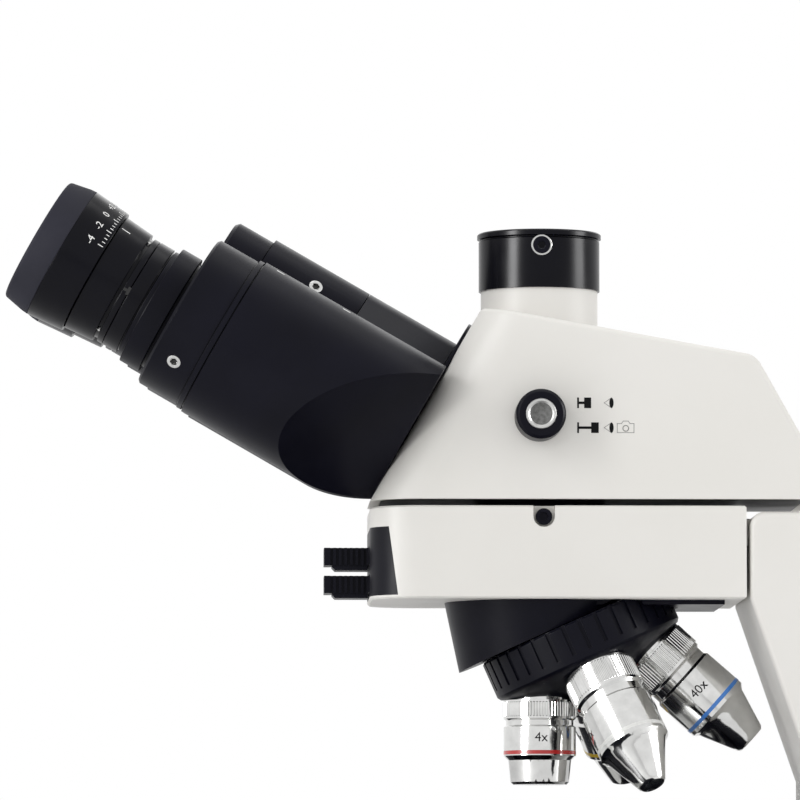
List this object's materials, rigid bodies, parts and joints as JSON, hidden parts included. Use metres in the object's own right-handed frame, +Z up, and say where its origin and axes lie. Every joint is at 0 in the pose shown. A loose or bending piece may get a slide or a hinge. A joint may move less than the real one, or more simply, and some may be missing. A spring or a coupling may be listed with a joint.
{
  "type": "trinocular microscope",
  "caption": "Upright laboratory microscope: inclined eyepiece head with a camera port on top, filter sliders, revolving nosepiece, mechanical stage, condenser and lamp base.",
  "frame": {"origin": "where the optical axis meets the table the instrument stands on", "axes": "+Z up; eyepieces and user towards -X; the user's right hand at -Y"},
  "size_m": [0.3547, 0.19, 0.4183],
  "materials": {
    "white_paint": "smooth satin paint",
    "black_satin": "satin black anodised",
    "black_gloss": "polished black anodised",
    "black_plastic": "semi-gloss moulded",
    "rubber": "matt blue-black",
    "steel": "bright turned",
    "chrome": "bright plated",
    "glass": "clear coated",
    "plate_steel": "zinc plated"
  },
  "bodies": {
    "stand": {"base_casting": "white_paint", "base_plate": "plate_steel", "rubber_feet": "rubber", "arm_casting": "white_paint", "nosepiece_block": "white_paint", "front_panel": "black_plastic", "head_lock_screw": "black_satin", "nosepiece_base": "black_satin", "field_lens_mount": "black_satin", "field_lens": "glass", "mains_inlet": "black_plastic", "focus_rail": "steel"},
    "head": {"head_housing": "white_paint", "head_base_plate": "steel", "port_collar": "black_gloss", "port_lock_screw": "black_satin", "hinge_shaft": "black_satin", "ipd_dial": "black_satin", "deflecting_prism": "glass", "relay_lens": "glass"},
    "splitter": {"splitter_rod": "steel", "splitter_knob": "black_plastic", "splitter_prism": "glass"},
    "right_tube": {"right_tube_housing": "black_satin", "right_tube_cap": "black_satin", "right_grub_screws": "steel", "right_eyepiece_sleeve": "black_satin", "right_eyepiece_barrel": "black_gloss"},
    "left_tube": {"left_tube_housing": "black_satin", "left_tube_cap": "black_satin", "left_grub_screws": "steel", "left_eyepiece_sleeve": "black_satin", "left_eyepiece_barrel": "black_gloss"},
    "right_diopter": {"right_diopter_ring": "black_gloss", "right_eyecup": "rubber", "right_eye_lens": "glass"},
    "left_diopter": {"left_diopter_ring": "black_gloss", "left_eyecup": "rubber", "left_eye_lens": "glass"},
    "upper_filter_slider": {"upper_slider": "black_satin"},
    "lower_filter_slider": {"lower_slider": "black_satin"},
    "nosepiece": {"turret": "black_satin", "objective_4x": "chrome", "objective_10x": "chrome", "objective_40x": "chrome", "objective_100x": "chrome"},
    "coarse_drive": {"coarse_knobs": "black_plastic"},
    "fine_drive": {"fine_knobs": "black_plastic"},
    "stage": {"stage_bracket": "black_satin"},
    "stage_top": {"stage_plate": "black_satin"},
    "holder": {"slide_holder": "steel"},
    "clip": {"specimen_clip": "steel"},
    "holder_drive": {"stage_knob_upper": "black_plastic"},
    "stage_drive": {"stage_knob_lower": "black_plastic"},
    "condenser_carriage": {"condenser_carrier": "black_satin", "condenser": "black_satin"},
    "iris": {"iris_lever": "black_satin"},
    "condenser_drive": {"condenser_knob": "black_plastic"},
    "brightness": {"brightness_knob": "black_plastic"},
    "power": {"power_switch": "black_plastic"}
  },
  "joints": [
    {"name": "head_turn", "type": "hinge", "parent": "stand", "child": "head", "pos_m": [0, 0, 0.3111], "axis": [0, 0, 1], "continuous": true},
    {"name": "splitter_pull", "type": "slide", "parent": "head", "child": "splitter", "axis": [0, -1, 0], "range_m": [0, 0.012]},
    {"name": "right_tube_swing", "type": "hinge", "parent": "head", "child": "right_tube", "pos_m": [-0.03489, 0, 0.3494], "axis": [-0.866, 0, 0.5], "range_deg": [-7.5, 16.5]},
    {"name": "left_tube_swing", "type": "hinge", "parent": "head", "child": "left_tube", "pos_m": [-0.03489, 0, 0.3494], "axis": [-0.866, 0, 0.5], "range_deg": [-10, 14]},
    {"name": "right_diopter_turn", "type": "hinge", "parent": "right_tube", "child": "right_diopter", "pos_m": [-0.14762, -0.0313, 0.38573], "axis": [-0.866, 0, 0.5], "range_deg": [-150, 150]},
    {"name": "left_diopter_turn", "type": "hinge", "parent": "left_tube", "child": "left_diopter", "pos_m": [-0.14577, 0.03392, 0.38894], "axis": [-0.866, 0, 0.5], "range_deg": [-150, 150]},
    {"name": "upper_slider_pull", "type": "slide", "parent": "stand", "child": "upper_filter_slider", "axis": [-1, 0, 0], "range_m": [0, 0.032]},
    {"name": "lower_slider_pull", "type": "slide", "parent": "stand", "child": "lower_filter_slider", "axis": [-1, 0, 0], "range_m": [0, 0.032]},
    {"name": "turret_turn", "type": "hinge", "parent": "stand", "child": "nosepiece", "pos_m": [0.01873, 0, 0.25434], "axis": [0.4067, 0, -0.9135], "continuous": true},
    {"name": "stage_lift", "type": "slide", "parent": "stand", "child": "stage", "axis": [0, 0, 1], "range_m": [-0.02, 0.001]},
    {"name": "coarse_turn", "type": "hinge", "parent": "stand", "child": "coarse_drive", "pos_m": [0.114, 0, 0.11], "axis": [0, 1, 0], "range_deg": [-191.09, 9.65]},
    {"name": "fine_turn", "type": "hinge", "parent": "stand", "child": "fine_drive", "pos_m": [0.114, 0, 0.11], "axis": [0, 1, 0], "continuous": true},
    {"name": "stage_front_back", "type": "slide", "parent": "stage", "child": "stage_top", "axis": [1, 0, 0], "range_m": [-0.022, 0.022]},
    {"name": "stage_drive_turn", "type": "hinge", "parent": "stage_top", "child": "stage_drive", "pos_m": [0.018, -0.072, 0.1708], "axis": [0, 0, 1], "range_deg": [-157.66, 157.66]},
    {"name": "holder_left_right", "type": "slide", "parent": "stage_top", "child": "holder", "axis": [0, 1, 0], "range_m": [-0.03, 0.03]},
    {"name": "holder_drive_turn", "type": "hinge", "parent": "stage_top", "child": "holder_drive", "pos_m": [0.018, -0.072, 0.1768], "axis": [0, 0, 1], "range_deg": [-214.96, 214.96]},
    {"name": "clip_open", "type": "hinge", "parent": "holder", "child": "clip", "pos_m": [0.018, -0.046, 0.2038], "axis": [0, 0, 1], "range_deg": [0, 25], "stiffness_Nm_per_rad": 0.02, "springref_deg": -17.19},
    {"name": "condenser_lift", "type": "slide", "parent": "stage", "child": "condenser_carriage", "axis": [0, 0, 1], "range_m": [-0.025, 0]},
    {"name": "condenser_drive_turn", "type": "hinge", "parent": "stage", "child": "condenser_drive", "pos_m": [0.074, 0.026, 0.1425], "axis": [0, 1, 0], "range_deg": [-143.34, 0.1]},
    {"name": "iris_turn", "type": "hinge", "parent": "condenser_carriage", "child": "iris", "pos_m": [0, 0, 0.1588], "axis": [0, 0, 1], "range_deg": [-35, 35]},
    {"name": "brightness_turn", "type": "hinge", "parent": "stand", "child": "brightness", "pos_m": [0.03, -0.09, 0.032], "axis": [0, -1, 0], "range_deg": [0, 270]},
    {"name": "power_rock", "type": "hinge", "parent": "stand", "child": "power", "pos_m": [0.16951, 0.03, 0.032], "axis": [0, 1, 0], "range_deg": [-6, 6]}
  ],
  "couplings": [
    {"joint": "coarse_turn", "follows": "stage_lift", "rad_per_m": 166.67},
    {"joint": "stage_drive_turn", "follows": "stage_front_back", "rad_per_m": 125},
    {"joint": "holder_drive_turn", "follows": "holder_left_right", "rad_per_m": 125},
    {"joint": "condenser_drive_turn", "follows": "condenser_lift", "rad_per_m": 100}
  ]
}
